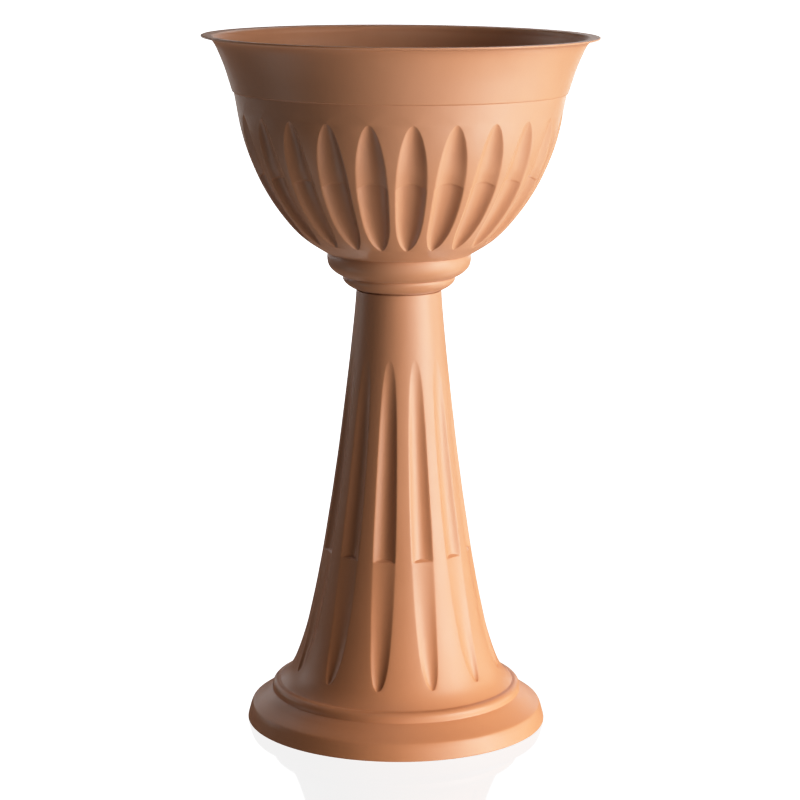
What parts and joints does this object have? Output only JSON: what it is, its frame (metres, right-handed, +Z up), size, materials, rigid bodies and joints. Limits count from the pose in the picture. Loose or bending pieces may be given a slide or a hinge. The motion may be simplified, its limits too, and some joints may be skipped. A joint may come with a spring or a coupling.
{
  "type": "column vase",
  "caption": "Fluted flower bowl with a flared rim, bolted on a tall hollow fluted column with a bell-shaped round foot, in moulded terracotta-coloured plastic.",
  "frame": {"origin": "centre of the foot, on the ground plane", "axes": "+Z up along the vase's axis, -Y towards the camera of the picture, +X to its right"},
  "size_m": [0.4004, 0.4004, 0.71],
  "materials": {
    "terracotta_plastic": "matte",
    "brown_plastic": "satin",
    "rubber": "matte",
    "steel": "satin"
  },
  "bodies": {
    "column_body": {"column": "terracotta_plastic", "captive_nut": "steel"},
    "bowl_body": {"bowl": "terracotta_plastic"},
    "bolt_body": {"fixing_bolt": "brown_plastic", "sealing_washer": "rubber"},
    "plug_1_body": {"drain_plug_1": "rubber"},
    "plug_2_body": {"drain_plug_2": "rubber"},
    "plug_3_body": {"drain_plug_3": "rubber"},
    "plug_4_body": {"drain_plug_4": "rubber"}
  },
  "joints": [
    {"name": "bowl_lift", "type": "slide", "parent": "column_body", "child": "bowl_body", "axis": [0, 0, 1], "range_m": [0, 0.045]},
    {"name": "bolt_draw", "type": "slide", "parent": "bowl_body", "child": "bolt_body", "axis": [0, 0, 1], "range_m": [0, 0.04]},
    {"name": "plug_1_pull", "type": "slide", "parent": "bowl_body", "child": "plug_1_body", "axis": [0, 0, 1], "range_m": [0, 0.016]},
    {"name": "plug_2_pull", "type": "slide", "parent": "bowl_body", "child": "plug_2_body", "axis": [0, 0, 1], "range_m": [0, 0.016]},
    {"name": "plug_3_pull", "type": "slide", "parent": "bowl_body", "child": "plug_3_body", "axis": [0, 0, 1], "range_m": [0, 0.016]},
    {"name": "plug_4_pull", "type": "slide", "parent": "bowl_body", "child": "plug_4_body", "axis": [0, 0, 1], "range_m": [0, 0.016]}
  ]
}
